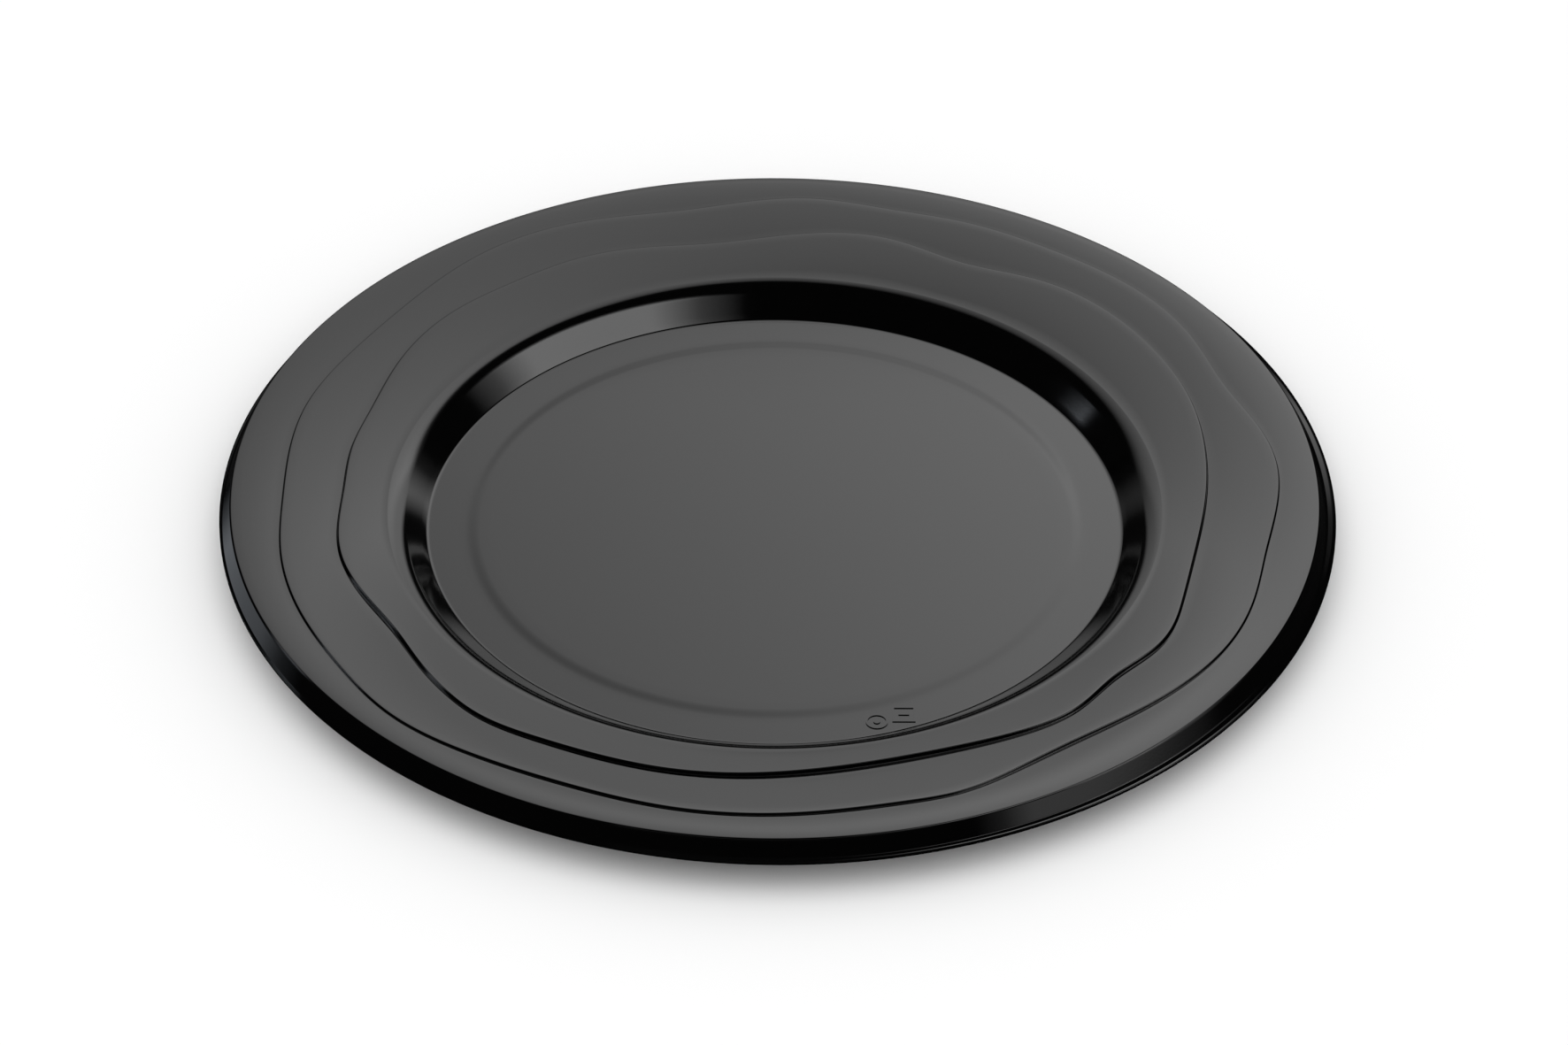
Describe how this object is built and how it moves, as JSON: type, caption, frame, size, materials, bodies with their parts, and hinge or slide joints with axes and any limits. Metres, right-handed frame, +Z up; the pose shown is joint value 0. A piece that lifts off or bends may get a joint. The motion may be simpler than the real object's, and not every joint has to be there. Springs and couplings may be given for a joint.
{
  "type": "serving tray",
  "caption": "Round shallow serving tray in thin black plastic: flat sunken floor, soft rolled well lip, sloping rim with wavy steps, short outer skirt and a narrow trimmed edge.",
  "frame": {"origin": "centre of the tray's round form, on the plane of the resting ring under the floor", "axes": "+Z up through the tray, -Y towards the front of the tray where the two small floor marks are, +X to the right"},
  "size_m": [0.2998, 0.2998, 0.014],
  "materials": {
    "black_plastic": "satin black thermoformed sheet"
  },
  "bodies": {
    "root": {"tray_moulding": "black_plastic"}
  },
  "joints": []
}
